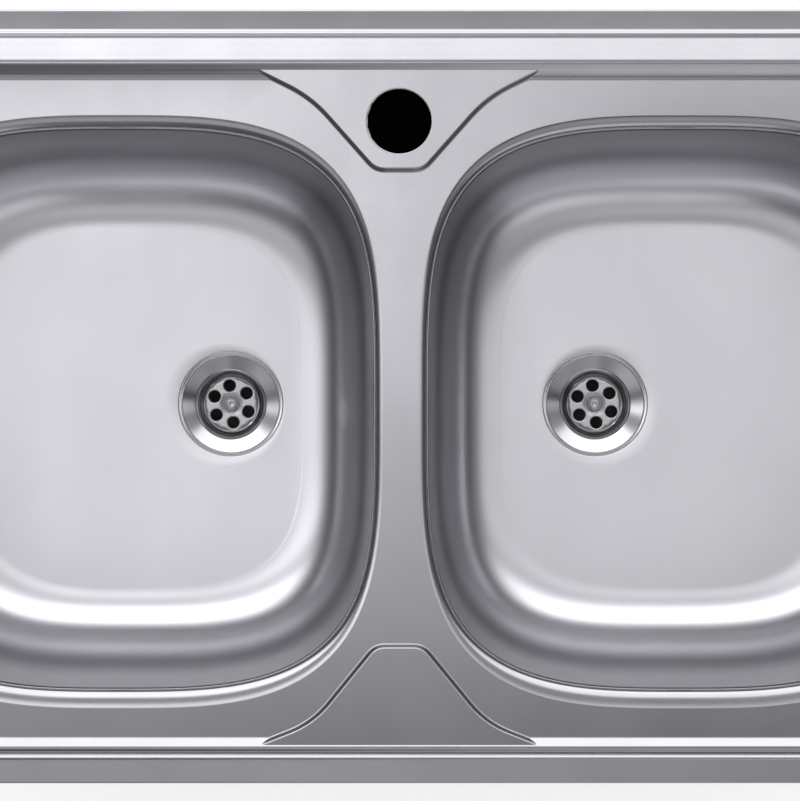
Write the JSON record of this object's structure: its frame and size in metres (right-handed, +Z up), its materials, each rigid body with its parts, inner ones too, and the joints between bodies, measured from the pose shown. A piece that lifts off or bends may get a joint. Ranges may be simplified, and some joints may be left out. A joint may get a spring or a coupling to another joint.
{
  "type": "double bowl kitchen sink",
  "caption": "Inset double bowl kitchen sink in pressed satin steel with a raised rim, a tap hole, strainer wastes and screw-up worktop clips.",
  "frame": {"origin": "centre of the rim, in the plane of the worktop's top face, on which the rim seal rests", "axes": "+X to the right along the rim's long side, +Y to the back, where the tap hole is, +Z up"},
  "size_m": [0.78, 0.48, 0.2594],
  "materials": {
    "satin_steel": "satin brushed",
    "polished_steel": "fine satin, nearly polished",
    "zinc_plate": "dull zinc plated",
    "white_plastic": "moulded, semi-matt",
    "brass": "turned",
    "black_rubber": "moulded",
    "grey_foam": "closed-cell foam",
    "bitumen": "pressed pad"
  },
  "bodies": {
    "sink": {"deck": "satin_steel", "rim_seal": "grey_foam", "tap_stiffener": "zinc_plate", "left_bowl": "satin_steel", "left_sound_pad": "bitumen", "left_strainer_cup": "polished_steel", "left_top_seal": "black_rubber", "left_base_gasket": "black_rubber", "left_waste_body": "white_plastic", "left_threaded_insert": "brass", "right_bowl": "satin_steel", "right_sound_pad": "bitumen", "right_strainer_cup": "polished_steel", "right_top_seal": "black_rubber", "right_base_gasket": "black_rubber", "right_waste_body": "white_plastic", "right_threaded_insert": "brass", "clip_bracket_1": "zinc_plate", "clip_bracket_2": "zinc_plate", "clip_bracket_3": "zinc_plate", "clip_bracket_4": "zinc_plate", "clip_bracket_5": "zinc_plate", "clip_bracket_6": "zinc_plate", "clip_bracket_7": "zinc_plate", "clip_bracket_8": "zinc_plate"},
    "left_screw": {"left_strainer_screw": "polished_steel"},
    "left_washer": {"left_cone_washer": "black_rubber"},
    "left_nut": {"left_coupling_nut": "white_plastic"},
    "right_screw": {"right_strainer_screw": "polished_steel"},
    "right_washer": {"right_cone_washer": "black_rubber"},
    "right_nut": {"right_coupling_nut": "white_plastic"},
    "claw_1": {"clip_claw_1": "zinc_plate"},
    "clamp_screw_1": {"clip_screw_1": "zinc_plate"},
    "claw_2": {"clip_claw_2": "zinc_plate"},
    "clamp_screw_2": {"clip_screw_2": "zinc_plate"},
    "claw_3": {"clip_claw_3": "zinc_plate"},
    "clamp_screw_3": {"clip_screw_3": "zinc_plate"},
    "claw_4": {"clip_claw_4": "zinc_plate"},
    "clamp_screw_4": {"clip_screw_4": "zinc_plate"},
    "claw_5": {"clip_claw_5": "zinc_plate"},
    "clamp_screw_5": {"clip_screw_5": "zinc_plate"},
    "claw_6": {"clip_claw_6": "zinc_plate"},
    "clamp_screw_6": {"clip_screw_6": "zinc_plate"},
    "claw_7": {"clip_claw_7": "zinc_plate"},
    "clamp_screw_7": {"clip_screw_7": "zinc_plate"},
    "claw_8": {"clip_claw_8": "zinc_plate"},
    "clamp_screw_8": {"clip_screw_8": "zinc_plate"}
  },
  "joints": [
    {"name": "left_strainer_screw_turn", "type": "hinge", "parent": "sink", "child": "left_screw", "pos_m": [-0.1136, -0.0049, -0.1683], "axis": [0, 0, 1], "range_deg": [0, 4320]},
    {"name": "left_washer_drop", "type": "slide", "parent": "sink", "child": "left_washer", "axis": [0, 0, -1], "range_m": [0, 0.0138]},
    {"name": "left_nut_turn", "type": "hinge", "parent": "left_washer", "child": "left_nut", "pos_m": [-0.1136, -0.0049, -0.24], "axis": [0, 0, 1], "range_deg": [-2160, 0]},
    {"name": "right_strainer_screw_turn", "type": "hinge", "parent": "sink", "child": "right_screw", "pos_m": [0.1297, -0.0049, -0.1683], "axis": [0, 0, 1], "range_deg": [0, 4320]},
    {"name": "right_washer_drop", "type": "slide", "parent": "sink", "child": "right_washer", "axis": [0, 0, -1], "range_m": [0, 0.0138]},
    {"name": "right_nut_turn", "type": "hinge", "parent": "right_washer", "child": "right_nut", "pos_m": [0.1297, -0.0049, -0.24], "axis": [0, 0, 1], "range_deg": [-2160, 0]},
    {"name": "claw_lift_1", "type": "slide", "parent": "sink", "child": "claw_1", "axis": [0, 0, 1], "range_m": [0, 0.014]},
    {"name": "clamp_screw_turn_1", "type": "hinge", "parent": "claw_1", "child": "clamp_screw_1", "pos_m": [-0.1742, 0.1863, -0.054], "axis": [0, 0, 1], "range_deg": [0, 5040]},
    {"name": "claw_lift_2", "type": "slide", "parent": "sink", "child": "claw_2", "axis": [0, 0, 1], "range_m": [0, 0.014]},
    {"name": "clamp_screw_turn_2", "type": "hinge", "parent": "claw_2", "child": "clamp_screw_2", "pos_m": [0.1742, 0.1863, -0.054], "axis": [0, 0, 1], "range_deg": [0, 5040]},
    {"name": "claw_lift_3", "type": "slide", "parent": "sink", "child": "claw_3", "axis": [0, 0, 1], "range_m": [0, 0.014]},
    {"name": "clamp_screw_turn_3", "type": "hinge", "parent": "claw_3", "child": "clamp_screw_3", "pos_m": [0.35165, 0.1071, -0.054], "axis": [0, 0, 1], "range_deg": [0, 5040]},
    {"name": "claw_lift_4", "type": "slide", "parent": "sink", "child": "claw_4", "axis": [0, 0, 1], "range_m": [0, 0.014]},
    {"name": "clamp_screw_turn_4", "type": "hinge", "parent": "claw_4", "child": "clamp_screw_4", "pos_m": [0.35165, -0.1229, -0.054], "axis": [0, 0, 1], "range_deg": [0, 5040]},
    {"name": "claw_lift_5", "type": "slide", "parent": "sink", "child": "claw_5", "axis": [0, 0, 1], "range_m": [0, 0.014]},
    {"name": "clamp_screw_turn_5", "type": "hinge", "parent": "claw_5", "child": "clamp_screw_5", "pos_m": [0.1742, -0.20125, -0.054], "axis": [0, 0, 1], "range_deg": [0, 5040]},
    {"name": "claw_lift_6", "type": "slide", "parent": "sink", "child": "claw_6", "axis": [0, 0, 1], "range_m": [0, 0.014]},
    {"name": "clamp_screw_turn_6", "type": "hinge", "parent": "claw_6", "child": "clamp_screw_6", "pos_m": [-0.1742, -0.20125, -0.054], "axis": [0, 0, 1], "range_deg": [0, 5040]},
    {"name": "claw_lift_7", "type": "slide", "parent": "sink", "child": "claw_7", "axis": [0, 0, 1], "range_m": [0, 0.014]},
    {"name": "clamp_screw_turn_7", "type": "hinge", "parent": "claw_7", "child": "clamp_screw_7", "pos_m": [-0.35165, -0.1229, -0.054], "axis": [0, 0, 1], "range_deg": [0, 5040]},
    {"name": "claw_lift_8", "type": "slide", "parent": "sink", "child": "claw_8", "axis": [0, 0, 1], "range_m": [0, 0.014]},
    {"name": "clamp_screw_turn_8", "type": "hinge", "parent": "claw_8", "child": "clamp_screw_8", "pos_m": [-0.35165, 0.1071, -0.054], "axis": [0, 0, 1], "range_deg": [0, 5040]}
  ],
  "couplings": [
    {"joint": "left_washer_drop", "follows": "left_nut_turn", "m_per_rad": -0.00036606},
    {"joint": "right_washer_drop", "follows": "right_nut_turn", "m_per_rad": -0.00036606},
    {"joint": "clamp_screw_turn_1", "follows": "claw_lift_1", "rad_per_m": 6283.2},
    {"joint": "clamp_screw_turn_2", "follows": "claw_lift_2", "rad_per_m": 6283.2},
    {"joint": "clamp_screw_turn_3", "follows": "claw_lift_3", "rad_per_m": 6283.2},
    {"joint": "clamp_screw_turn_4", "follows": "claw_lift_4", "rad_per_m": 6283.2},
    {"joint": "clamp_screw_turn_5", "follows": "claw_lift_5", "rad_per_m": 6283.2},
    {"joint": "clamp_screw_turn_6", "follows": "claw_lift_6", "rad_per_m": 6283.2},
    {"joint": "clamp_screw_turn_7", "follows": "claw_lift_7", "rad_per_m": 6283.2},
    {"joint": "clamp_screw_turn_8", "follows": "claw_lift_8", "rad_per_m": 6283.2}
  ]
}
